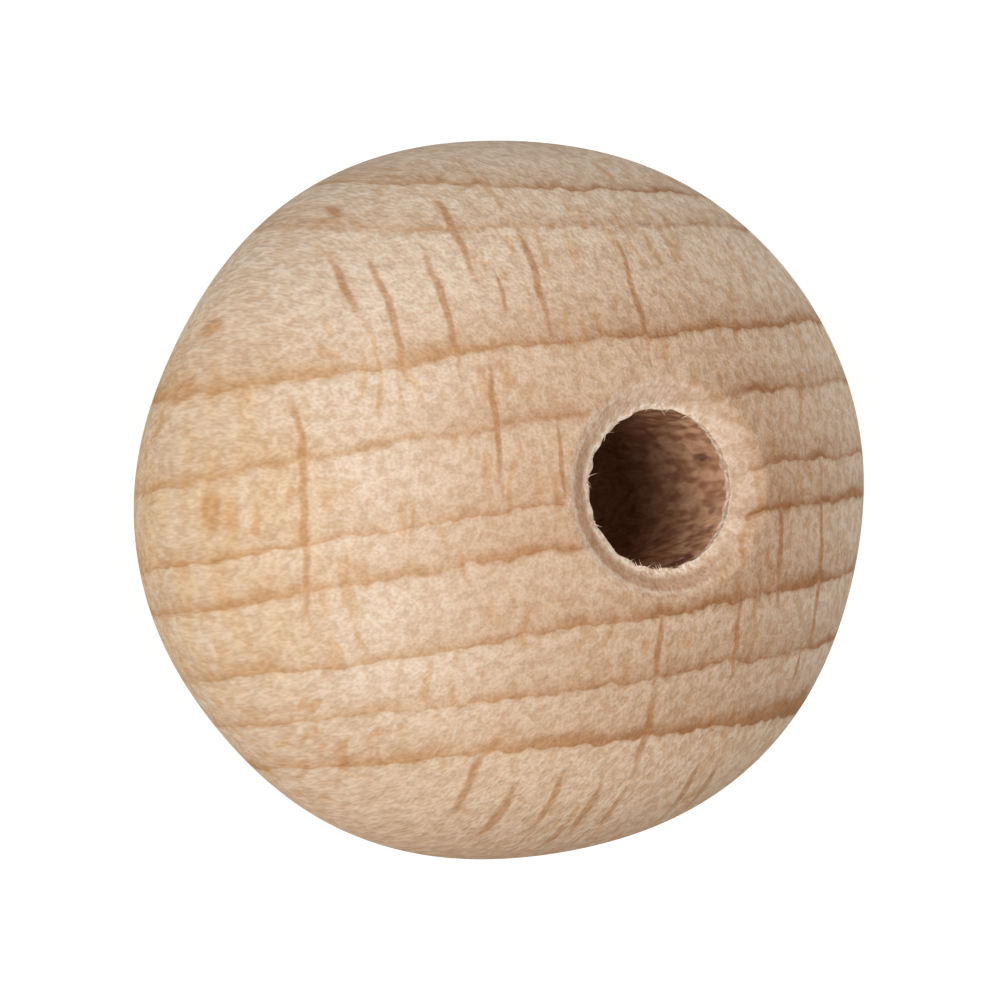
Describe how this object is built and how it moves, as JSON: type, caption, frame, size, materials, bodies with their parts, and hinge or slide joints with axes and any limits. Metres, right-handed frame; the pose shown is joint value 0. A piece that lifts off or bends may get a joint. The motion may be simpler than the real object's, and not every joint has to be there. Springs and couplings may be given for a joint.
{
  "type": "wooden ball",
  "caption": "Turned wooden ball with a straight hole drilled through it along the grain, countersunk at both ends, for threading on cord or rod.",
  "frame": {"origin": "centre of the ball, halfway along the hole", "axes": "+Z along the hole and the grain, up as the ball stands on the lip of its hole; X runs across the growth rings and Y along them"},
  "size_m": [0.03, 0.03, 0.0286],
  "materials": {
    "beech": "sanded smooth and unfinished, satin"
  },
  "bodies": {
    "root": {"ball": "beech"}
  },
  "joints": []
}
